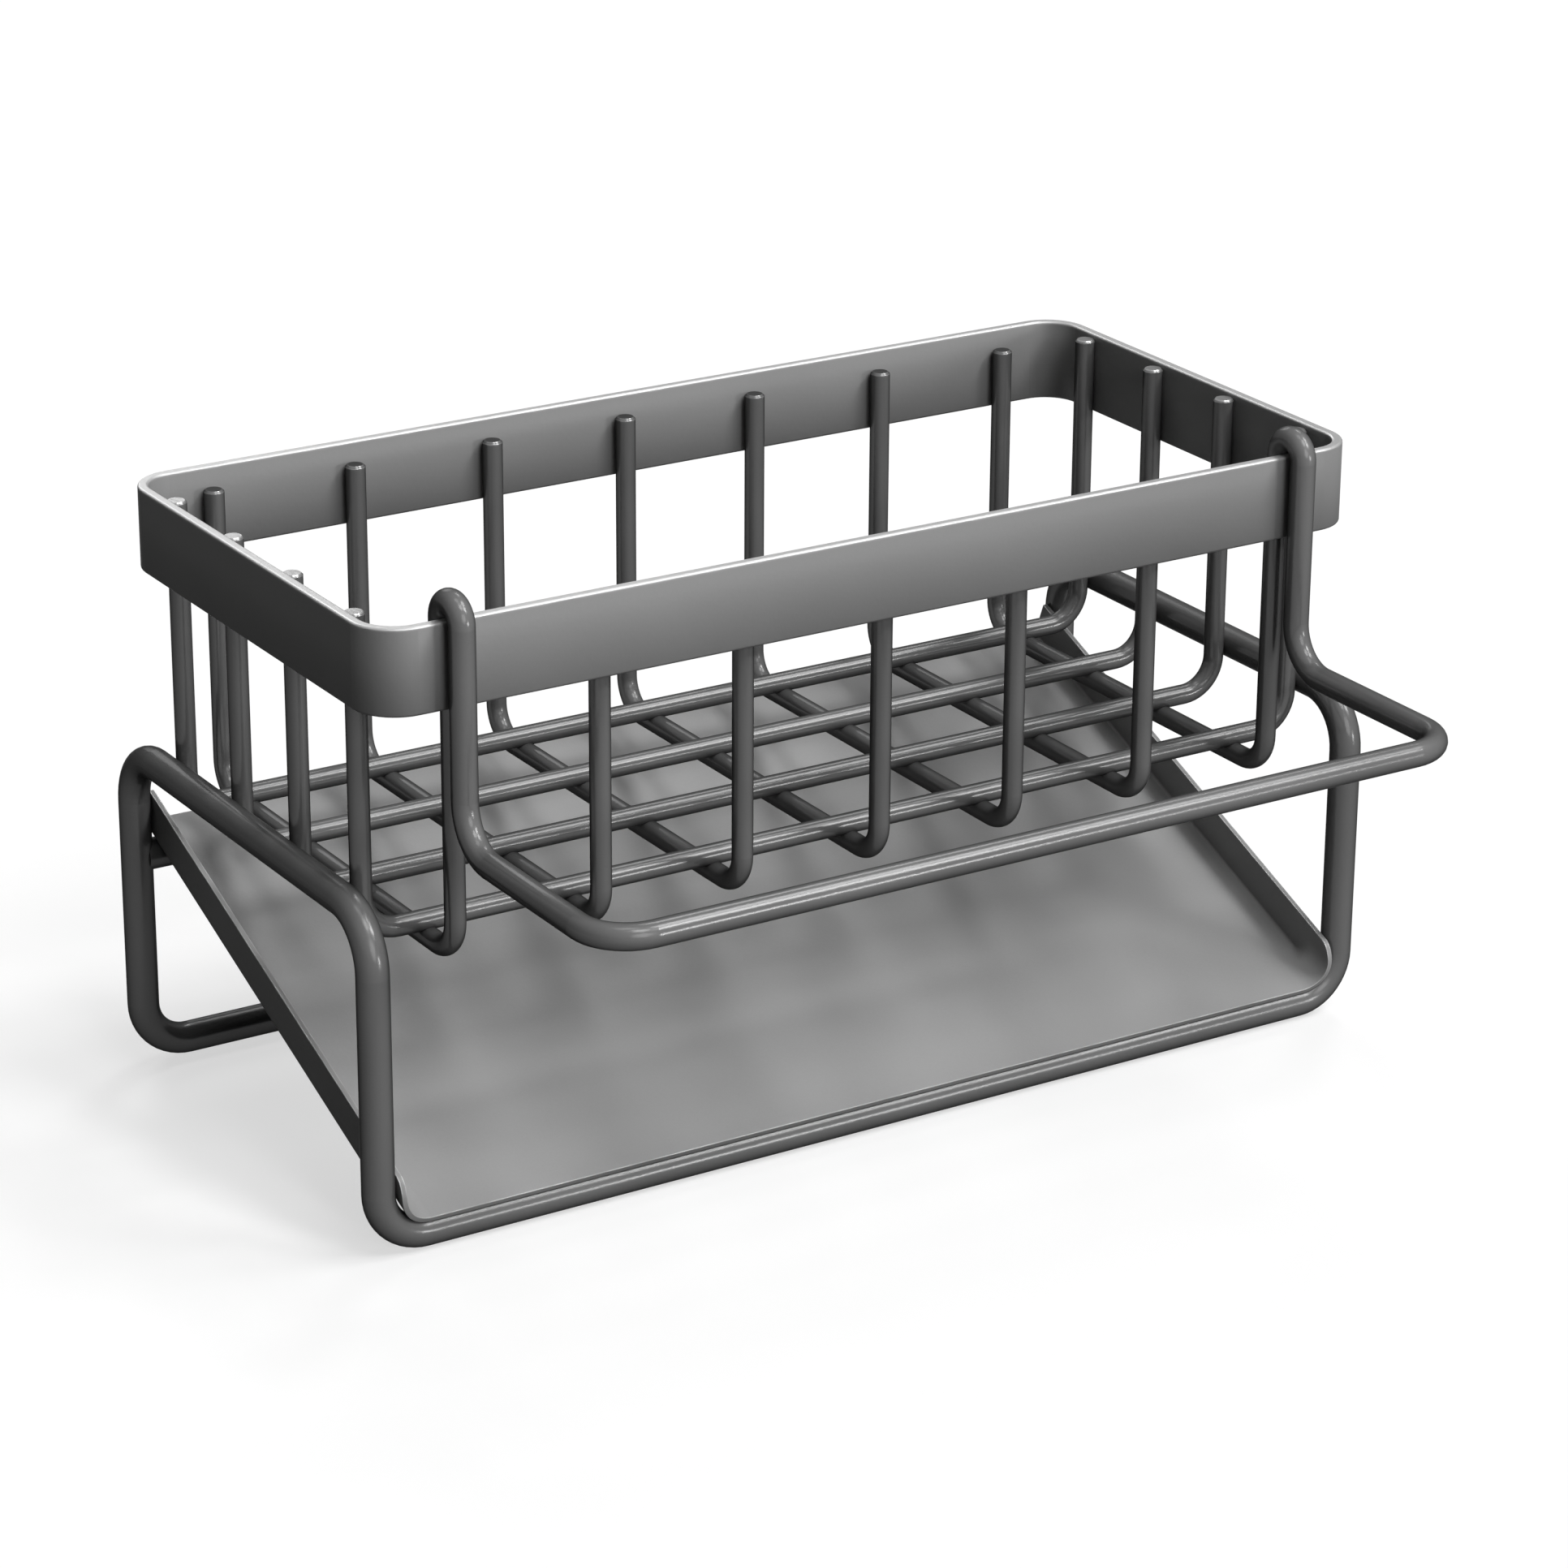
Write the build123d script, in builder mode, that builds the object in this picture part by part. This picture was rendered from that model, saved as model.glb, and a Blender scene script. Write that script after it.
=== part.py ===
"""Wire sponge holder with a slide-out drip tray and a hook-on cloth rail.

Millimetres, +Z up. X runs along the length, -Y faces the front, and the
stand's underside lies on Z = 0. The holder is a mirror image about X = 0.
"""
import os
from math import asin, cos, hypot, sin

from build123d import *

os.makedirs("parts", exist_ok=True)

# ---- wire and strip stock --------------------------------------------------
STAND_WIRE = 6.0
BASKET_WIRE = 3.9
RAIL_WIRE = 4.8
BAND_HEIGHT = 16.0
BAND_THICK = 2.0
TRAY_SHEET = 1.0
WIRE_END_CHAMFER = 0.4

# ---- stand loop, measured at the wire centres ------------------------------
STAND_HALF_Y = 48.0
STAND_TOP_Z = 64.0
STAND_FOOT_BEND = 9.0
STAND_TOP_BEND = 10.5
CROSSBAR_DROP = 22.0

# ---- basket: its floor wires hang below the stand's side bars --------------
BAND_HALF_X = 103.8
BAND_HALF_Y = 49.5
BAND_CORNER = 8.5
BAND_EDGE_ROUND = 0.5
BASKET_FLOOR_DROP = 8.4
BASKET_HEIGHT = 60.3
LONG_WIRE_MARGIN = 12.7
LONG_WIRE_COUNT = 4
LONG_WIRE_BEND = 7.0
LONG_WIRE_DROP = 0.8
CROSS_WIRE_MARGIN = 14.5
CROSS_WIRE_COUNT = 7
CROSS_WIRE_BEND = 6.5
CROSS_WIRE_DROP = 3.9

# ---- drip tray: runs are along its slope, past the bars under it -----------
TRAY_SIDE_GAP = 0.3
TRAY_WALL = 8.1
TRAY_NOSE = 5.0
TRAY_FRONT_RUN = 1.1
TRAY_REAR_RUN = 4.9

# ---- cloth rail ------------------------------------------------------------
RAIL_INSET = 15.4
RAIL_REACH = 48.0
RAIL_DROP = 40.9
RAIL_CORNER = 9.0
RAIL_LEG_BEND = 9.0

# ---- clearances and weld depths --------------------------------------------
MESH_WELD_SINK = 0.95
WELD_SINK = 0.05
HOOK_SIDE_GAP = 0.1
HOOK_SEAT_DROP = 0.7
HOOK_TIP_GAP = 0.4
TRAY_REST_GAP = 0.05

# ---- sizes that follow from the ones above ---------------------------------
STAND_R = STAND_WIRE / 2
BASKET_R = BASKET_WIRE / 2
RAIL_R = RAIL_WIRE / 2
BAND_INNER_X = BAND_HALF_X - BAND_THICK
BAND_INNER_Y = BAND_HALF_Y - BAND_THICK
STAND_HALF_X = BAND_INNER_X + STAND_R
CROSSBAR_Z = STAND_TOP_Z - CROSSBAR_DROP
LONG_WIRE_Z = STAND_TOP_Z - BASKET_FLOOR_DROP
BAND_TOP_Z = LONG_WIRE_Z + BASKET_HEIGHT
END_UPRIGHT_X = BAND_INNER_X - BASKET_R + WELD_SINK
SIDE_UPRIGHT_Y = BAND_INNER_Y - BASKET_R + WELD_SINK
CROSS_WIRE_Z = LONG_WIRE_Z - BASKET_WIRE + MESH_WELD_SINK
LONG_WIRE_PITCH = 2 * (BAND_INNER_Y - LONG_WIRE_MARGIN) / (LONG_WIRE_COUNT - 1)
CROSS_WIRE_PITCH = 2 * (BAND_INNER_X - CROSS_WIRE_MARGIN) / (CROSS_WIRE_COUNT - 1)
LONG_WIRE_TOP_Z = BAND_TOP_Z - LONG_WIRE_DROP
CROSS_WIRE_TOP_Z = BAND_TOP_Z - CROSS_WIRE_DROP
RAIL_HALF_X = BAND_HALF_X - RAIL_INSET
RAIL_Z = BAND_TOP_Z - RAIL_DROP
HOOK_BEND = BAND_THICK / 2 + HOOK_SIDE_GAP + RAIL_R
HOOK_Y = -BAND_HALF_Y + BAND_THICK / 2
HOOK_CENTRE_Z = BAND_TOP_Z - HOOK_SEAT_DROP
HOOK_TIP_Z = CROSS_WIRE_TOP_Z + HOOK_TIP_GAP
RAIL_LEG_Y = HOOK_Y - HOOK_BEND
RAIL_BAR_Y = RAIL_LEG_Y - RAIL_REACH
BAR_GAP = hypot(2 * STAND_HALF_Y, CROSSBAR_Z - STAND_R)
TRAY_SLOPE = asin((CROSSBAR_Z - STAND_R) / BAR_GAP)
TRAY_SEAT = STAND_R + TRAY_REST_GAP
TRAY_FRONT_Y = -STAND_HALF_Y - TRAY_FRONT_RUN * cos(TRAY_SLOPE) - TRAY_SEAT * sin(TRAY_SLOPE)
TRAY_FRONT_Z = STAND_R - TRAY_FRONT_RUN * sin(TRAY_SLOPE) + TRAY_SEAT * cos(TRAY_SLOPE)
TRAY_LENGTH = TRAY_FRONT_RUN + BAR_GAP + TRAY_REAR_RUN
CENTRE_Y = (RAIL_BAR_Y - RAIL_R + TRAY_FRONT_Y + TRAY_LENGTH * cos(TRAY_SLOPE)) / 2


def save(solid, name):
    placed = Pos(0, -CENTRE_Y, 0) * solid
    placed.label = name
    export_step(placed, f"parts/{name}.step")


# ---- rim band: one flat strip bent to a rounded rectangle ------------------
with BuildPart() as band:
    with BuildSketch(Plane.XY.offset(BAND_TOP_Z - BAND_HEIGHT)):
        RectangleRounded(2 * BAND_HALF_X, 2 * BAND_HALF_Y, BAND_CORNER)
        RectangleRounded(
            2 * BAND_INNER_X,
            2 * BAND_INNER_Y,
            BAND_CORNER - BAND_THICK,
            mode=Mode.SUBTRACT,
        )
    extrude(amount=BAND_HEIGHT)
    fillet(band.faces().sort_by(Axis.Z)[-1].edges(), BAND_EDGE_ROUND)
    fillet(band.faces().sort_by(Axis.Z)[0].edges(), BAND_EDGE_ROUND)
save(band.part, "rim_band")

# ---- four long wires: end upright, floor run, end upright -------------------
for i in range(LONG_WIRE_COUNT):
    y = (i - (LONG_WIRE_COUNT - 1) / 2) * LONG_WIRE_PITCH
    with BuildPart() as long_wire:
        with BuildLine() as path:
            FilletPolyline(
                (-END_UPRIGHT_X, y, LONG_WIRE_TOP_Z),
                (-END_UPRIGHT_X, y, LONG_WIRE_Z),
                (END_UPRIGHT_X, y, LONG_WIRE_Z),
                (END_UPRIGHT_X, y, LONG_WIRE_TOP_Z),
                radius=LONG_WIRE_BEND,
            )
        with BuildSketch(Plane((-END_UPRIGHT_X, y, LONG_WIRE_TOP_Z), z_dir=(0, 0, -1))):
            Circle(BASKET_R)
        sweep()
        ends = long_wire.faces().filter_by(Axis.Z).filter_by(GeomType.PLANE)
        chamfer(ends.edges(), WIRE_END_CHAMFER)
    save(long_wire.part, f"long_wire_{i + 1}")

# ---- seven cross wires: front upright, floor run, rear upright --------------
for i in range(CROSS_WIRE_COUNT):
    x = (i - (CROSS_WIRE_COUNT - 1) / 2) * CROSS_WIRE_PITCH
    with BuildPart() as cross_wire:
        with BuildLine() as path:
            FilletPolyline(
                (x, -SIDE_UPRIGHT_Y, CROSS_WIRE_TOP_Z),
                (x, -SIDE_UPRIGHT_Y, CROSS_WIRE_Z),
                (x, SIDE_UPRIGHT_Y, CROSS_WIRE_Z),
                (x, SIDE_UPRIGHT_Y, CROSS_WIRE_TOP_Z),
                radius=CROSS_WIRE_BEND,
            )
        with BuildSketch(Plane((x, -SIDE_UPRIGHT_Y, CROSS_WIRE_TOP_Z), z_dir=(0, 0, -1))):
            Circle(BASKET_R)
        sweep()
        ends = cross_wire.faces().filter_by(Axis.Z).filter_by(GeomType.PLANE)
        chamfer(ends.edges(), WIRE_END_CHAMFER)
    save(cross_wire.part, f"cross_wire_{i + 1}")

# ---- stand: one closed loop, the left half swept and mirrored ---------------
with BuildPart() as stand:
    with BuildLine() as path:
        FilletPolyline(
            (0, -STAND_HALF_Y, STAND_R),
            (-STAND_HALF_X, -STAND_HALF_Y, STAND_R),
            (-STAND_HALF_X, -STAND_HALF_Y, STAND_TOP_Z),
            (-STAND_HALF_X, STAND_HALF_Y, STAND_TOP_Z),
            (-STAND_HALF_X, STAND_HALF_Y, STAND_R),
            (0, STAND_HALF_Y, STAND_R),
            radius=(STAND_FOOT_BEND, STAND_TOP_BEND, STAND_TOP_BEND, STAND_FOOT_BEND),
        )
    with BuildSketch(Plane((0, -STAND_HALF_Y, STAND_R), z_dir=(-1, 0, 0))):
        Circle(STAND_R)
    sweep()
    mirror(about=Plane.YZ)
save(stand.part, "stand_frame")

# ---- rear crossbar: its ends are notched to sit against the legs ------------
with BuildPart() as crossbar:
    with BuildSketch(Plane.YZ):
        with Locations((STAND_HALF_Y, CROSSBAR_Z)):
            Circle(STAND_R)
    extrude(amount=STAND_HALF_X - STAND_R / 2, both=True)
    with Locations(
        (-STAND_HALF_X, STAND_HALF_Y, CROSSBAR_Z),
        (STAND_HALF_X, STAND_HALF_Y, CROSSBAR_Z),
    ):
        Cylinder(STAND_R - WELD_SINK, 2 * STAND_WIRE, mode=Mode.SUBTRACT)
save(crossbar.part, "rear_crossbar")

# ---- drip tray: a sheet with two bent-up sides, leaning on both bars --------
tray_half_x = STAND_HALF_X - STAND_R - TRAY_SIDE_GAP
tray_front = Plane(
    origin=(0, TRAY_FRONT_Y, TRAY_FRONT_Z),
    x_dir=(1, 0, 0),
    z_dir=(0, -cos(TRAY_SLOPE), -sin(TRAY_SLOPE)),
)
with BuildPart() as tray:
    with BuildSketch(tray_front):
        with BuildLine():
            FilletPolyline(
                (-tray_half_x, TRAY_WALL),
                (-tray_half_x, 0),
                (tray_half_x, 0),
                (tray_half_x, TRAY_WALL),
                radius=STAND_FOOT_BEND - STAND_R,
            )
            offset(amount=TRAY_SHEET, side=Side.LEFT)
        make_face()
    extrude(amount=-TRAY_LENGTH)
    with BuildSketch(Plane(tray_front.origin, x_dir=-tray_front.z_dir, z_dir=(1, 0, 0))):
        Rectangle(TRAY_NOSE, TRAY_WALL, align=Align.MIN)
        with Locations((TRAY_NOSE, 0)):
            Ellipse(TRAY_NOSE, TRAY_WALL, mode=Mode.SUBTRACT)
    extrude(amount=2 * STAND_HALF_X, both=True, mode=Mode.SUBTRACT)
save(tray.part, "drip_tray")

# ---- cloth rail: two hooks, two legs, two arms and the bar ------------------
with BuildPart() as rail:
    hook_in = HOOK_Y + HOOK_BEND
    with BuildLine() as path:
        Line((-RAIL_HALF_X, hook_in, HOOK_TIP_Z), (-RAIL_HALF_X, hook_in, HOOK_CENTRE_Z))
        ThreePointArc(
            (-RAIL_HALF_X, hook_in, HOOK_CENTRE_Z),
            (-RAIL_HALF_X, HOOK_Y, HOOK_CENTRE_Z + HOOK_BEND),
            (-RAIL_HALF_X, RAIL_LEG_Y, HOOK_CENTRE_Z),
        )
        FilletPolyline(
            (-RAIL_HALF_X, RAIL_LEG_Y, HOOK_CENTRE_Z),
            (-RAIL_HALF_X, RAIL_LEG_Y, RAIL_Z),
            (-RAIL_HALF_X, RAIL_BAR_Y, RAIL_Z),
            (0, RAIL_BAR_Y, RAIL_Z),
            radius=(RAIL_LEG_BEND, RAIL_CORNER),
        )
    with BuildSketch(Plane((-RAIL_HALF_X, hook_in, HOOK_TIP_Z), z_dir=(0, 0, 1))):
        Circle(RAIL_R)
    sweep()
    tip = rail.faces().filter_by(Axis.Z).filter_by(GeomType.PLANE)
    chamfer(tip.edges(), WIRE_END_CHAMFER)
    mirror(about=Plane.YZ)
save(rail.part, "cloth_rail")
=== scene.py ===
import math

import bpy
from mathutils import Matrix, Vector


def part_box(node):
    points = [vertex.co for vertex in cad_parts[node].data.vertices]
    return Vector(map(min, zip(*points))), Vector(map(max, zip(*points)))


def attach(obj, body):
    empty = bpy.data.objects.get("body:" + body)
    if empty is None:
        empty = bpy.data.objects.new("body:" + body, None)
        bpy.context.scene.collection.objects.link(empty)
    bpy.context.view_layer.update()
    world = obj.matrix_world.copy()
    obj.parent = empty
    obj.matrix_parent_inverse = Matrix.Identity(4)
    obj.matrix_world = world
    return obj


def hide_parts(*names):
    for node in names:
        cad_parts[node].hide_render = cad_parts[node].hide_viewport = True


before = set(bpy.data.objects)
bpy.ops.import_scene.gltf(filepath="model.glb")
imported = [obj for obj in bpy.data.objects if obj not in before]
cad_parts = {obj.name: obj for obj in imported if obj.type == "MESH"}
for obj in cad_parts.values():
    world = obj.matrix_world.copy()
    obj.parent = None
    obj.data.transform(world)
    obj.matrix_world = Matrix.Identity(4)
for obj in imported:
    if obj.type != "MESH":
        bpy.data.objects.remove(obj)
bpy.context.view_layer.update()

# Stand: one 6 mm steel wire bent into a closed loop of front bar, legs, side bars
# and rear bar, with a straight crossbar welded between its rear legs. Its finish is
# a gunmetal grey under a thin satin lacquer.


def node_tools(tree):
    """Returns two tools for a node tree: one adds a node, the other links two sockets."""

    def add(kind, at, label="", values=None, **settings):
        node = tree.nodes.new(kind)
        node.location = at
        node.label = label
        for name, value in settings.items():
            setattr(node, name, value)
        for socket, value in (values or {}).items():
            node.inputs[socket].default_value = value
        return node

    def join(source, target):
        tree.links.new(source, target)

    return add, join


def empty_nodes(owner):
    """Gives a material or a world an empty node tree and returns the tree's tools."""
    owner.use_nodes = True
    owner.node_tree.nodes.clear()
    return node_tools(owner.node_tree)


def open_group(name, inputs, outputs):
    """Starts a node group with named sockets: (name, kind, default) in, (name, kind) out."""
    group = bpy.data.node_groups.new(name, "ShaderNodeTree")
    for label, kind, default in inputs:
        socket = group.interface.new_socket(label, in_out="INPUT", socket_type=kind)
        socket.default_value = default
    for label, kind in outputs:
        group.interface.new_socket(label, in_out="OUTPUT", socket_type=kind)
    return group, *node_tools(group)


def grey(level):
    """A neutral colour: every finish on this object is a grey."""
    return (level, level, level, 1.0)


# Gunmetal coat: a soft cloud in the tint, a fine speckle of pigment, a slow change
# of gloss and the orange peel of a sprayed and baked coat. Scales are per metre.
PIGMENT_SCALE = 2600.0
PIGMENT_STRENGTH = 0.25
PEEL_SCALE = 900.0
gunmetal, add, join = open_group(
    "Gunmetal coat",
    [
        ("Position", "NodeSocketVector", (0.0, 0.0, 0.0)),
        ("Dark", "NodeSocketColor", grey(0.25)),
        ("Light", "NodeSocketColor", grey(0.3)),
        ("Cloud scale", "NodeSocketFloat", 30.0),
        ("Gloss low", "NodeSocketFloat", 0.2),
        ("Gloss high", "NodeSocketFloat", 0.24),
    ],
    [
        ("Color", "NodeSocketColor"),
        ("Roughness", "NodeSocketFloat"),
        ("Height", "NodeSocketFloat"),
    ],
)
given = add("NodeGroupInput", (-900, 0))
made = add("NodeGroupOutput", (500, 0))
cloud = add(
    "ShaderNodeTexNoise", (-650, 260), "soft clouds", {"Detail": 2.0, "Roughness": 0.45}
)
join(given.outputs["Position"], cloud.inputs["Vector"])
join(given.outputs["Cloud scale"], cloud.inputs["Scale"])
spread = add(
    "ShaderNodeMapRange",
    (-430, 260),
    "spread the clouds",
    {"From Min": 0.32, "From Max": 0.68},
)
join(cloud.outputs["Fac"], spread.inputs["Value"])
speckle = add(
    "ShaderNodeTexNoise",
    (-650, 20),
    "pigment speckle",
    {"Scale": PIGMENT_SCALE, "Detail": 1.0},
)
join(given.outputs["Position"], speckle.inputs["Vector"])
centred = add(
    "ShaderNodeMath", (-430, 20), "speckle about zero", {1: 0.5}, operation="SUBTRACT"
)
join(speckle.outputs["Fac"], centred.inputs[0])
weighed = add(
    "ShaderNodeMath",
    (-250, 20),
    "speckle strength",
    {1: PIGMENT_STRENGTH},
    operation="MULTIPLY",
)
join(centred.outputs[0], weighed.inputs[0])
both = add(
    "ShaderNodeMath", (-60, 160), "clouds and speckle", operation="ADD", use_clamp=True
)
join(spread.outputs[0], both.inputs[0])
join(weighed.outputs[0], both.inputs[1])
tint = add("ShaderNodeMix", (140, 220), "tint", data_type="RGBA")
join(both.outputs[0], tint.inputs["Factor"])
join(given.outputs["Dark"], tint.inputs["A"])
join(given.outputs["Light"], tint.inputs["B"])
join(tint.outputs["Result"], made.inputs["Color"])
gloss = add("ShaderNodeMapRange", (140, 0), "gloss follows the clouds")
join(both.outputs[0], gloss.inputs["Value"])
join(given.outputs["Gloss low"], gloss.inputs["To Min"])
join(given.outputs["Gloss high"], gloss.inputs["To Max"])
join(gloss.outputs[0], made.inputs["Roughness"])
peel = add(
    "ShaderNodeTexNoise",
    (-650, -240),
    "orange peel",
    {"Scale": PEEL_SCALE, "Detail": 2.0},
)
join(given.outputs["Position"], peel.inputs["Vector"])
join(peel.outputs["Fac"], made.inputs["Height"])

# Bare edges and painted highlight: where the surface turns sharply, the coat is
# thinner and shows the brighter steel below, kept to upward edges, which paints a
# highlight along the tops. It is read from the bevelled normal against the plain one.
edge_bare_and_highlight, add, join = open_group(
    "Edge wear",
    [
        ("Position", "NodeSocketVector", (0.0, 0.0, 0.0)),
        ("Width", "NodeSocketFloat", 0.0006),
        ("Amount", "NodeSocketFloat", 0.8),
    ],
    [("Mask", "NodeSocketFloat")],
)
given = add("NodeGroupInput", (-900, 0))
made = add("NodeGroupOutput", (500, 0))
rounded = add("ShaderNodeBevel", (-650, 100), "rounded edges", samples=6)
join(given.outputs["Width"], rounded.inputs["Radius"])
plain = add("ShaderNodeNewGeometry", (-650, -100))
turned = add("ShaderNodeVectorMath", (-430, 0), "how far they differ", operation="DOT_PRODUCT")
join(rounded.outputs[0], turned.inputs[0])
join(plain.outputs["Normal"], turned.inputs[1])
sharp = add(
    "ShaderNodeMapRange",
    (-230, 0),
    "sharp edges only",
    {"From Min": 0.995, "From Max": 0.86},
)
join(turned.outputs["Value"], sharp.inputs["Value"])
broken = add("ShaderNodeTexNoise", (-430, -240), "breaks in the wear", {"Scale": 220.0})
join(given.outputs["Position"], broken.inputs["Vector"])
ragged = add(
    "ShaderNodeMapRange",
    (-230, -240),
    "ragged",
    {"From Min": 0.3, "From Max": 0.6, "To Min": 0.35},
)
join(broken.outputs["Fac"], ragged.inputs["Value"])
facing = add("ShaderNodeSeparateXYZ", (-430, 220), "which way it faces")
join(rounded.outputs[0], facing.inputs[0])
# Upward edges only: this paints a highlight along the tops, besides the bare steel.
upper = add(
    "ShaderNodeMapRange",
    (-230, 220),
    "upper edges only",
    {"From Min": -0.1, "From Max": 0.45},
)
join(facing.outputs["Z"], upper.inputs["Value"])
scuffed_and_lit = add("ShaderNodeMath", (0, 120), "rubbed edge", operation="MULTIPLY")
join(sharp.outputs[0], scuffed_and_lit.inputs[0])
join(upper.outputs[0], scuffed_and_lit.inputs[1])
exposed_and_lit = add("ShaderNodeMath", (0, -60), "worn edge", operation="MULTIPLY")
join(scuffed_and_lit.outputs[0], exposed_and_lit.inputs[0])
join(ragged.outputs[0], exposed_and_lit.inputs[1])
scaled = add("ShaderNodeMath", (200, 0), "amount", operation="MULTIPLY")
join(exposed_and_lit.outputs[0], scaled.inputs[0])
join(given.outputs["Amount"], scaled.inputs[1])
join(scaled.outputs[0], made.inputs["Mask"])

PEEL_DEPTH = 0.00002
CUT_FADE = 0.0002
BARE_TOP_HIGHLIGHT = 0.62  # how far a bare top face is as bright as the edge steel; bare steel and a painted highlight
EDGE_DIMMING = grey(0.2)  # tints the steel's reflections towards its outline
LACQUER_ROUGHNESS = 0.3
LACQUER_IOR = 1.02


def coated_steel(
    name,
    dark,
    light,
    exposed_and_lit,
    metallic,
    gloss,
    bare_and_highlight,
    bare_and_highlight_width=0.0006,
    cloud_scale=30.0,
    bare_and_lit_above=None,
    lacquer=None,
):
    """The steel finish of one kind of piece.

    dark, light and exposed_and_lit are greys: the coat's two tints and the bare steel
    that shows at sharp upward edges, which also paints a highlight there. gloss is the
    least and most roughness. Above the height bare_and_lit_above the steel shows
    through, as bare steel and a painted highlight. lacquer is the tint of the clear coat.
    """
    material = bpy.data.materials.new(name)
    add, join = empty_nodes(material)
    place = add("ShaderNodeTexCoord", (-1100, 0), "place on the object")
    place.name = "place"
    coat = add("ShaderNodeGroup", (-700, 120), "gunmetal coat", node_tree=gunmetal)
    coat.inputs["Dark"].default_value = grey(dark)
    coat.inputs["Light"].default_value = grey(light)
    coat.inputs["Cloud scale"].default_value = cloud_scale
    coat.inputs["Gloss low"].default_value = gloss[0]
    coat.inputs["Gloss high"].default_value = gloss[1]
    join(place.outputs["Object"], coat.inputs["Position"])
    edges = add("ShaderNodeGroup", (-700, -220), "edge wear", node_tree=edge_bare_and_highlight)
    edges.inputs["Width"].default_value = bare_and_highlight_width
    edges.inputs["Amount"].default_value = bare_and_highlight
    join(place.outputs["Object"], edges.inputs["Position"])
    bright = edges.outputs["Mask"]
    # Above this height the top faces show bare steel and a painted highlight.
    if bare_and_lit_above:
        height = add("ShaderNodeSeparateXYZ", (-900, -380))
        join(place.outputs["Object"], height.inputs[0])
        cut = add(
            "ShaderNodeMapRange",
            (-700, -380),
            "bare cut end",
            {"From Min": bare_and_lit_above, "From Max": bare_and_lit_above + CUT_FADE, "To Max": BARE_TOP_HIGHLIGHT},
        )
        join(height.outputs["Z"], cut.inputs["Value"])
        either = add("ShaderNodeMath", (-500, -320), "worn or cut", operation="MAXIMUM")
        join(bright, either.inputs[0])
        join(cut.outputs[0], either.inputs[1])
        bright = either.outputs[0]
    tint = add("ShaderNodeMix", (-350, 120), "steel at the edges", data_type="RGBA")
    tint.inputs["B"].default_value = grey(exposed_and_lit)
    join(coat.outputs["Color"], tint.inputs["A"])
    join(bright, tint.inputs["Factor"])
    bare = add(
        "ShaderNodeMapRange",
        (-350, -20),
        "bare metal at the edges",
        {"To Min": metallic, "To Max": 1.0},
    )
    join(bright, bare.inputs["Value"])
    relief = add(
        "ShaderNodeBump",
        (-350, -260),
        "orange peel",
        {"Strength": 1.0, "Distance": PEEL_DEPTH},
    )
    relief.name = "relief"
    join(coat.outputs["Height"], relief.inputs["Height"])
    steel = add(
        "ShaderNodeBsdfPrincipled",
        (0, 0),
        "lacquered steel",
        {"Specular IOR Level": 0.0, "Specular Tint": EDGE_DIMMING},
    )
    join(tint.outputs["Result"], steel.inputs["Base Color"])
    join(bare.outputs[0], steel.inputs["Metallic"])
    join(coat.outputs["Roughness"], steel.inputs["Roughness"])
    join(relief.outputs["Normal"], steel.inputs["Normal"])
    if lacquer:
        cover = add(
            "ShaderNodeMapRange",
            (-350, 300),
            "lacquer, gone at the edges",
            {"To Min": 1.0, "To Max": 0.0},
        )
        join(bright, cover.inputs["Value"])
        join(cover.outputs[0], steel.inputs["Coat Weight"])
        steel.inputs["Coat Roughness"].default_value = LACQUER_ROUGHNESS
        steel.inputs["Coat IOR"].default_value = LACQUER_IOR
        steel.inputs["Coat Tint"].default_value = grey(lacquer)
    surface = add("ShaderNodeOutputMaterial", (300, 0))
    join(steel.outputs["BSDF"], surface.inputs["Surface"])
    return material


def finish_pieces(names, material):
    """Gives CAD nodes their finish."""
    for name in names:
        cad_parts[name].material_slots[0].material = material


stand_steel = coated_steel(
    "Stand wire, gunmetal",
    dark=0.253,
    light=0.297,
    exposed_and_lit=0.6,
    metallic=0.22,
    gloss=(0.2, 0.24),
    bare_and_highlight=0.8,
    lacquer=0.66,
)
finish_pieces(["stand_frame", "rear_crossbar"], stand_steel)

# Basket mesh: four long and seven cross wires of 3.9 mm steel, bent into U shapes
# and spot welded where they cross and inside the rim band. The long wires' ends
# reach almost to the band's top, and show bare steel where they were cut, painted
# brighter as a highlight.
LONG_WIRES = [f"long_wire_{i + 1}" for i in range(4)]
CROSS_WIRES = [f"cross_wire_{i + 1}" for i in range(7)]
WIRE_TOP_BARE_AND_LIT_DEPTH = 0.0003
basket_steel = coated_steel(
    "Basket wire, gunmetal",
    dark=0.239,
    light=0.281,
    exposed_and_lit=0.62,
    metallic=0.24,
    gloss=(0.19, 0.23),
    bare_and_highlight=0.9,
    bare_and_lit_above=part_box("long_wire_1")[1].z - WIRE_TOP_BARE_AND_LIT_DEPTH,
    lacquer=0.66,
)
finish_pieces(LONG_WIRES + CROSS_WIRES, basket_steel)

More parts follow.
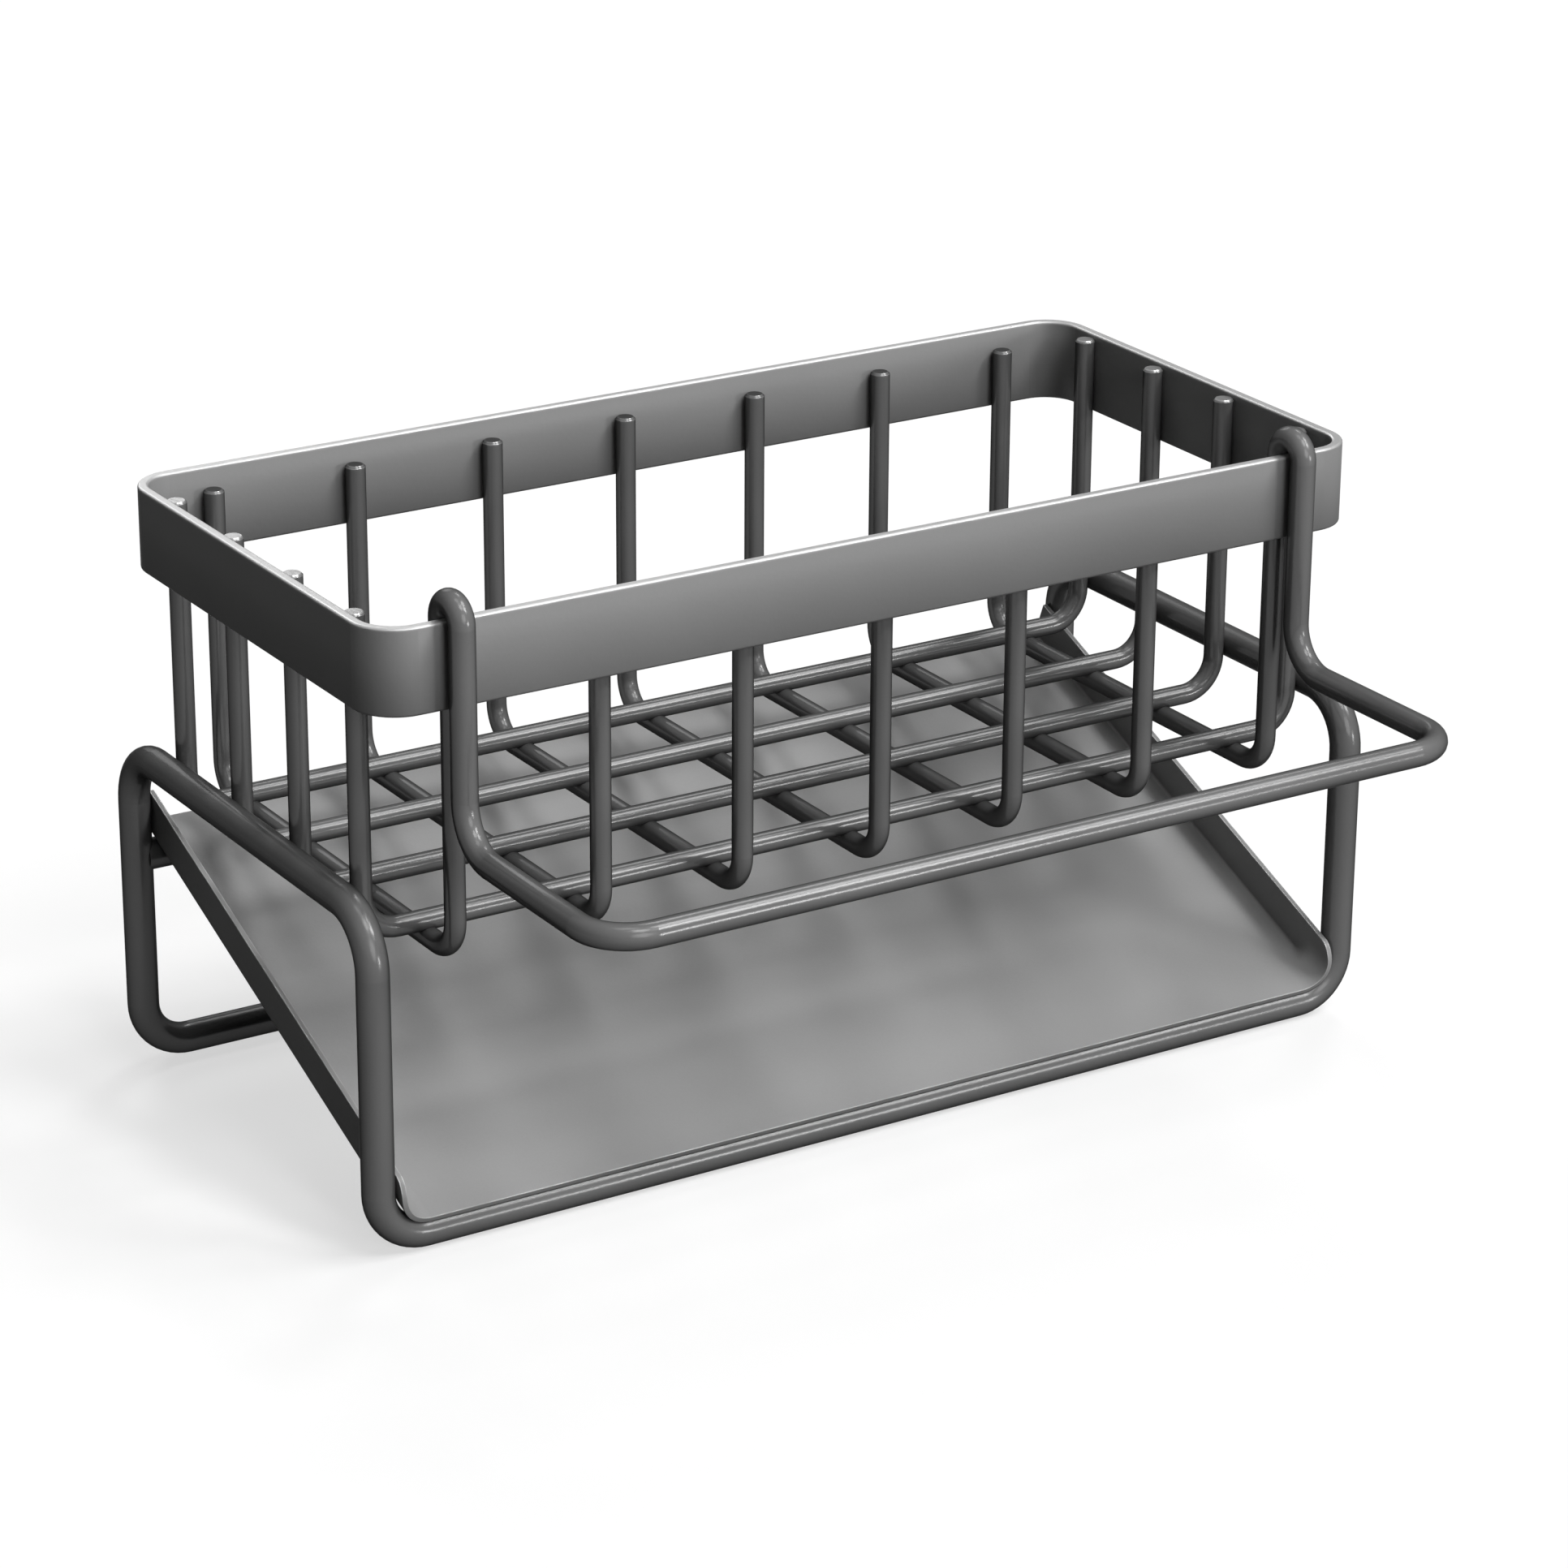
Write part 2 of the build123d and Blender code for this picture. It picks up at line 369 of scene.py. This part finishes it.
# Rim band: a 16 by 2 mm steel strip bent round four corners and butt welded. It
# stiffens the basket's mouth, and its top edge shows bare steel from rubbing with a
# painted highlight on it. Its faces are flat, and the finish gives them the soft
# change of tone of a slightly crowned strip.
BAND_MIDDLE = sum(corner.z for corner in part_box("rim_band")) / 2
BAND_CROWN = 21.0  # turns the face by about 18 degrees from its middle to an edge
BAND_TOP_BARE_AND_LIT_DEPTH = 0.0004
band_steel = coated_steel(
    "Rim band, gunmetal",
    dark=0.292,
    light=0.322,
    exposed_and_lit=0.6,
    metallic=0.06,
    gloss=(0.34, 0.42),
    bare_and_highlight=0.95,
    bare_and_highlight_width=0.0009,
    bare_and_lit_above=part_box("rim_band")[1].z - BAND_TOP_BARE_AND_LIT_DEPTH,
    lacquer=0.94,
)
band_nodes = band_steel.node_tree.nodes
add, join = node_tools(band_steel.node_tree)
level = add("ShaderNodeSeparateXYZ", (-1100, -500))
join(band_nodes["place"].outputs["Object"], level.inputs[0])
off = add(
    "ShaderNodeMath",
    (-900, -500),
    "from the middle",
    {1: BAND_MIDDLE},
    operation="SUBTRACT",
)
join(level.outputs["Z"], off.inputs[0])
square = add("ShaderNodeMath", (-700, -500), "squared", {1: 2.0}, operation="POWER")
join(off.outputs[0], square.inputs[0])
arch = add(
    "ShaderNodeMath", (-520, -500), "falls away", {1: -BAND_CROWN}, operation="MULTIPLY"
)
join(square.outputs[0], arch.inputs[0])
bowed = add(
    "ShaderNodeBump", (-350, -500), "crowned strip", {"Strength": 1.0, "Distance": 1.0}
)
join(arch.outputs[0], bowed.inputs["Height"])
join(bowed.outputs["Normal"], band_nodes["relief"].inputs["Normal"])
finish_pieces(["rim_band"], band_steel)

# Cloth rail: one 4.8 mm steel wire bent to a loop, with two hooks that drop over the
# front of the rim band. It is loose, held by its weight, and lifts off upwards.
rail_steel = coated_steel(
    "Cloth rail, gunmetal",
    dark=0.290,
    light=0.340,
    exposed_and_lit=0.6,
    metallic=0.2,
    gloss=(0.19, 0.23),
    bare_and_highlight=0.8,
    lacquer=0.68,
)
finish_pieces(["cloth_rail"], rail_steel)

# Drip tray: one loose sheet of 1 mm steel with both sides folded up square. The
# folds open to a wide curve at the front, where they pass the bends of the stand's
# feet. It lies on the front bar and the rear crossbar, and slides out to the front.
SHEET = 0.001
STAND_WIRE = 0.006
STAND_DEPTH = 0.096  # from the front bar to the crossbar, at the wire centres
TRAY_SIDE_GAP = 0.0001
TRAY_REST_GAP = 0.00005
TRAY_FRONT_RUN = 0.0011  # past the front bar, along the slope
TRAY_REAR_RUN = 0.0049  # past the crossbar, along the slope
TRAY_WALL = 0.0086  # height from the sheet's underside
TRAY_NOSE = 0.005  # how far back the wall's front end is rounded
FOOT_FOLD = 0.005  # inner radius beside the stand's feet
SIDE_FOLD = 0.0006  # inner radius behind them
FOLD_STEPS = 12
FLAT_STEPS = 4  # rows at each end of the wide fold that end up flat beside the tight one
# How tight the fold is, from wide to square, by the distance behind the front edge.
FOLD_TIGHTENS = {
    0.0056: 0.0,
    0.0064: 0.04,
    0.0074: 0.16,
    0.0085: 0.42,
    0.0095: 0.7,
    0.0105: 0.9,
    0.0115: 1.0,
}
# Heights of the wall's rows, closer together where its front end curves in.
WALL_ROWS = (0.0067, 0.0074, 0.0079, 0.0082, 0.0085, TRAY_WALL)
TRAY_EDGE_ROUND = 0.0002
TRAY_ROUND_ABOVE = math.radians(50)
TRAY_SMOOTH_BELOW = math.radians(40)
SAME_PLACE = 0.00001
SAME_POINT = 0.000002
NO_LENGTH = 0.000001

crossbar = sum(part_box("rear_crossbar"), Vector()) / 2
bar_rise = crossbar.z - STAND_WIRE / 2
bar_gap = math.hypot(STAND_DEPTH, bar_rise)
slope = math.asin(bar_rise / bar_gap)
seat = STAND_WIRE / 2 + TRAY_REST_GAP
tray_length = TRAY_FRONT_RUN + bar_gap + TRAY_REAR_RUN
tray_front = (
    0.0,
    crossbar.y - STAND_DEPTH - TRAY_FRONT_RUN * math.cos(slope) - seat * math.sin(slope),
    STAND_WIRE / 2 - TRAY_FRONT_RUN * math.sin(slope) + seat * math.cos(slope),
)
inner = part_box("stand_frame")[1].x - STAND_WIRE - TRAY_SIDE_GAP - SHEET


def select_at(piece, kind, **place):
    """In edit mode, selects the vertices or edges that lie at the x, y or z given."""
    bpy.ops.mesh.select_all(action="DESELECT")
    bpy.ops.object.mode_set(mode="OBJECT")
    points = piece.data.vertices
    for part in getattr(piece.data, kind):
        corners = [part.index] if kind == "vertices" else part.vertices
        part.select = all(
            abs(getattr(points[i].co, axis) - value) < SAME_PLACE
            for i in corners
            for axis, value in place.items()
        )
    bpy.ops.object.mode_set(mode="EDIT")


def on_fold(centre, radius, turned):
    """The place across the sheet and above it on a round fold, turned from 0 to 1."""
    angle = math.radians(90) * turned
    return centre + radius * Vector((math.sin(angle), -math.cos(angle)))


def apply_modifier(piece, kind, **settings):
    """Adds a modifier to a piece and applies it."""
    modifier = piece.modifiers.new(kind.title(), kind)
    for name, value in settings.items():
        setattr(modifier, name, value)
    bpy.context.view_layer.objects.active = piece
    bpy.ops.object.modifier_apply(modifier=modifier.name)


# The right half is laid flat, its wall is pulled up in rows and folded wide.
bpy.ops.object.select_all(action="DESELECT")
bpy.ops.mesh.primitive_plane_add(size=1.0)
tray = bpy.context.object
tray.name = "folded_drip_tray"
tray.scale = (inner, tray_length, 1.0)
tray.location = (inner / 2, tray_length / 2, SHEET)
bpy.ops.object.transform_apply(location=True, rotation=True, scale=True)
bpy.ops.object.mode_set(mode="EDIT")
bpy.context.tool_settings.mesh_select_mode = (False, True, False)
select_at(tray, "edges", x=inner)
for below, above in zip((SHEET, *WALL_ROWS), WALL_ROWS):
    bpy.ops.mesh.extrude_edges_move(TRANSFORM_OT_translate={"value": (0, 0, above - below)})
select_at(tray, "edges", x=inner, z=SHEET)
bpy.ops.mesh.bevel(offset=FOOT_FOLD, segments=FOLD_STEPS, profile=0.5, clamp_overlap=False)
for station in FOLD_TIGHTENS:
    bpy.ops.mesh.select_all(action="SELECT")
    bpy.ops.mesh.bisect(plane_co=(0, station, 0), plane_no=(0, 1, 0))

# Each row of the wide fold moves out to its place on the tight one, little by
# little behind the front bar and all the way from there to the rear.
bpy.context.tool_settings.mesh_select_mode = (True, False, False)
wide_centre = Vector((inner - FOOT_FOLD, SHEET + FOOT_FOLD))
tight_centre = Vector((inner - SIDE_FOLD, SHEET + SIDE_FOLD))
for step in range(FOLD_STEPS + 1):
    row = on_fold(wide_centre, FOOT_FOLD, step / FOLD_STEPS)
    turned = (step - FLAT_STEPS) / (FOLD_STEPS - 2 * FLAT_STEPS)
    goal = on_fold(tight_centre, SIDE_FOLD, min(max(turned, 0), 1))
    if step < FLAT_STEPS:
        goal.x = wide_centre.x + (tight_centre.x - wide_centre.x) * step / FLAT_STEPS
    if step > FOLD_STEPS - FLAT_STEPS:
        left = FOLD_STEPS - step
        goal.y = wide_centre.y + (tight_centre.y - wide_centre.y) * left / FLAT_STEPS
    move = goal - row
    for station, share in (*FOLD_TIGHTENS.items(), (tray_length, 1.0)):
        select_at(tray, "vertices", x=row.x, y=station, z=row.y)
        bpy.ops.transform.translate(value=(move.x * share, 0.0, move.y * share))

# The front end of each wall is cut to a quarter of an ellipse.
for height in sorted({round(v.co.z, 6) for v in tray.data.vertices}):
    set_back = TRAY_NOSE * (1 - math.sqrt(max(1 - (height / TRAY_WALL) ** 2, 0.0)))
    if height > SHEET + SAME_PLACE:
        select_at(tray, "vertices", y=0, z=height)
        bpy.ops.transform.translate(value=(0.0, set_back, 0.0))
bpy.ops.object.mode_set(mode="OBJECT")

# The half is mirrored, given the sheet's thickness, eased along its cut edges and
# laid on the two bars.
apply_modifier(tray, "MIRROR", merge_threshold=SAME_PLACE)
apply_modifier(tray, "SOLIDIFY", thickness=SHEET, offset=-1.0, use_even_offset=True)
apply_modifier(
    tray,
    "BEVEL",
    width=TRAY_EDGE_ROUND,
    segments=2,
    limit_method="ANGLE",
    angle_limit=TRAY_ROUND_ABOVE,
)
bpy.ops.object.mode_set(mode="EDIT")
bpy.ops.mesh.select_all(action="SELECT")
bpy.ops.mesh.remove_doubles(threshold=SAME_POINT)
bpy.ops.mesh.dissolve_degenerate(threshold=NO_LENGTH)
bpy.ops.mesh.normals_make_consistent(inside=False)
bpy.ops.object.mode_set(mode="OBJECT")
tray.rotation_euler = (slope, 0.0, 0.0)
tray.location = tray_front
bpy.ops.object.transform_apply(location=True, rotation=True, scale=True)
bpy.ops.object.shade_smooth_by_angle(angle=TRAY_SMOOTH_BELOW)
apply_modifier(tray, "WEIGHTED_NORMAL", keep_sharp=True)
tray_steel = coated_steel(
    "Drip tray, gunmetal",
    dark=0.267,
    light=0.333,
    exposed_and_lit=0.62,
    metallic=0.06,
    gloss=(0.36, 0.44),
    bare_and_highlight=0.9,
    bare_and_highlight_width=0.0004,
    cloud_scale=26.0,
)
tray.data.materials.append(tray_steel)
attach(tray, "tray")
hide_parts("drip_tray")

# Floor: a seamless pale sweep, white to the camera and to reflections, which
# keeps the soft shadow under the object.
FLOOR_SIDE = 30.0
FLOOR_BOUNCE = 0.06
FLOOR_PAINT = 0.4
FLOOR_LIFT = 0.61


def seen_directly(add, join):
    """Adds nodes that give 1 to camera, glossy and transmission rays, and 0 to others."""
    rays = add("ShaderNodeLightPath", (-900, 300))
    seen = add("ShaderNodeMath", (-650, 300), "camera or reflection", operation="MAXIMUM")
    join(rays.outputs["Is Camera Ray"], seen.inputs[0])
    join(rays.outputs["Is Glossy Ray"], seen.inputs[1])
    shown = add("ShaderNodeMath", (-450, 300), "or through glass", operation="MAXIMUM")
    join(seen.outputs[0], shown.inputs[0])
    join(rays.outputs["Is Transmission Ray"], shown.inputs[1])
    return shown.outputs[0]


bpy.ops.object.select_all(action="DESELECT")
bpy.ops.mesh.primitive_plane_add(size=FLOOR_SIDE, location=(0.0, 0.0, 0.0))
floor = bpy.context.object
floor.name = "floor"
floor_paint = bpy.data.materials.new("Floor paint")
add, join = empty_nodes(floor_paint)
bounce = add("ShaderNodeBsdfDiffuse", (-450, 80), "dim bounce", {"Color": grey(FLOOR_BOUNCE)})
pale = add(
    "ShaderNodeBsdfDiffuse",
    (-450, -60),
    "pale paint with the shadow",
    {"Color": grey(FLOOR_PAINT)},
)
lift = add("ShaderNodeEmission", (-450, -200), "lift to white", {"Strength": FLOOR_LIFT})
white = add("ShaderNodeAddShader", (-200, -100))
join(pale.outputs[0], white.inputs[0])
join(lift.outputs[0], white.inputs[1])
choice = add("ShaderNodeMixShader", (40, 100))
join(seen_directly(add, join), choice.inputs[0])
join(bounce.outputs[0], choice.inputs[1])
join(white.outputs[0], choice.inputs[2])
surface = add("ShaderNodeOutputMaterial", (300, 0))
join(choice.outputs[0], surface.inputs["Surface"])
floor.data.materials.append(floor_paint)

# World: a black studio with a white backdrop, which shows only to the camera and
# in reflections, and a faint even fill.
WORLD_FILL = 0.02
world = bpy.data.worlds.new("Studio")
bpy.context.scene.world = world
add, join = empty_nodes(world)
fill = add(
    "ShaderNodeMapRange",
    (-250, 300),
    "fill or white",
    {"To Min": WORLD_FILL, "To Max": 1.0},
)
join(seen_directly(add, join), fill.inputs["Value"])
backdrop = add("ShaderNodeBackground", (0, 0))
join(fill.outputs[0], backdrop.inputs["Strength"])
surface = add("ShaderNodeOutputWorld", (300, 0))
join(backdrop.outputs[0], surface.inputs["Surface"])

# Lamps: large soft lights far off, each named by where it stands, with its azimuth,
# elevation, strength and apparent size. Azimuth 0 is in front of the object and 90
# on its right; a strength of 1 shows a white card that faces the lamp as white.
LAMPS = {
    "front top": (10.0, 62.0, 0.24, 22.0),
    "front": (0.0, 25.0, 0.2, 30.0),
    "front right": (44.0, 45.0, 0.3, 15.0),
    "front low": (29.0, 5.0, 0.17, 10.0),
    "right top": (66.0, 58.0, 0.26, 18.0),
    "rear right top": (131.0, 50.0, 0.14, 14.0),
    "overhead": (0.0, 89.0, 0.08, 20.0),
    "rear": (166.0, 25.0, 0.28, 24.0),
}
LAMP_DISTANCE = 2.0
for name, (azimuth, elevation, strength, apparent_size) in LAMPS.items():
    light = bpy.data.lights.new(name, "SUN")
    light.energy = strength * math.pi
    light.angle = math.radians(apparent_size)
    lamp = bpy.data.objects.new(name, light)
    bpy.context.scene.collection.objects.link(lamp)
    turn, rise = math.radians(azimuth), math.radians(elevation)
    away = Vector(
        (
            math.sin(turn) * math.cos(rise),
            -math.cos(turn) * math.cos(rise),
            math.sin(rise),
        )
    )
    lamp.location = away * LAMP_DISTANCE
    lamp.rotation_mode = "QUATERNION"
    lamp.rotation_quaternion = away.to_track_quat("Z", "Y")

# Camera: the photograph's view, from the front left and above, with a long lens.
# Its place in metres and its turns in degrees fit the edges of the wires there.
PHOTO_SIDE = 1932
FOCAL_PIXELS = 6242.68
SENSOR = 36.0
CAMERA_AT = (-0.465934, -0.735267, 0.403126)
YAW, PITCH, ROLL = (math.radians(turn) for turn in (31.9200, -21.5072, 0.3511))
ahead = Vector(
    (math.sin(YAW) * math.cos(PITCH), math.cos(YAW) * math.cos(PITCH), math.sin(PITCH))
)
level = Vector((math.cos(YAW), -math.sin(YAW), 0.0))
upright = level.cross(ahead)
right = level * math.cos(ROLL) + upright * math.sin(ROLL)
up = upright * math.cos(ROLL) - level * math.sin(ROLL)
lens = bpy.data.cameras.new("Camera")
lens.sensor_width = SENSOR
lens.lens = FOCAL_PIXELS / PHOTO_SIDE * SENSOR
lens.clip_start = 0.01
lens.clip_end = 100.0
camera = bpy.data.objects.new("Camera", lens)
bpy.context.scene.collection.objects.link(camera)
camera.matrix_world = (
    Matrix.Translation(CAMERA_AT) @ Matrix((right, up, -ahead)).transposed().to_4x4()
)
bpy.context.scene.camera = camera

bpy.context.scene.view_settings.view_transform = "Standard"
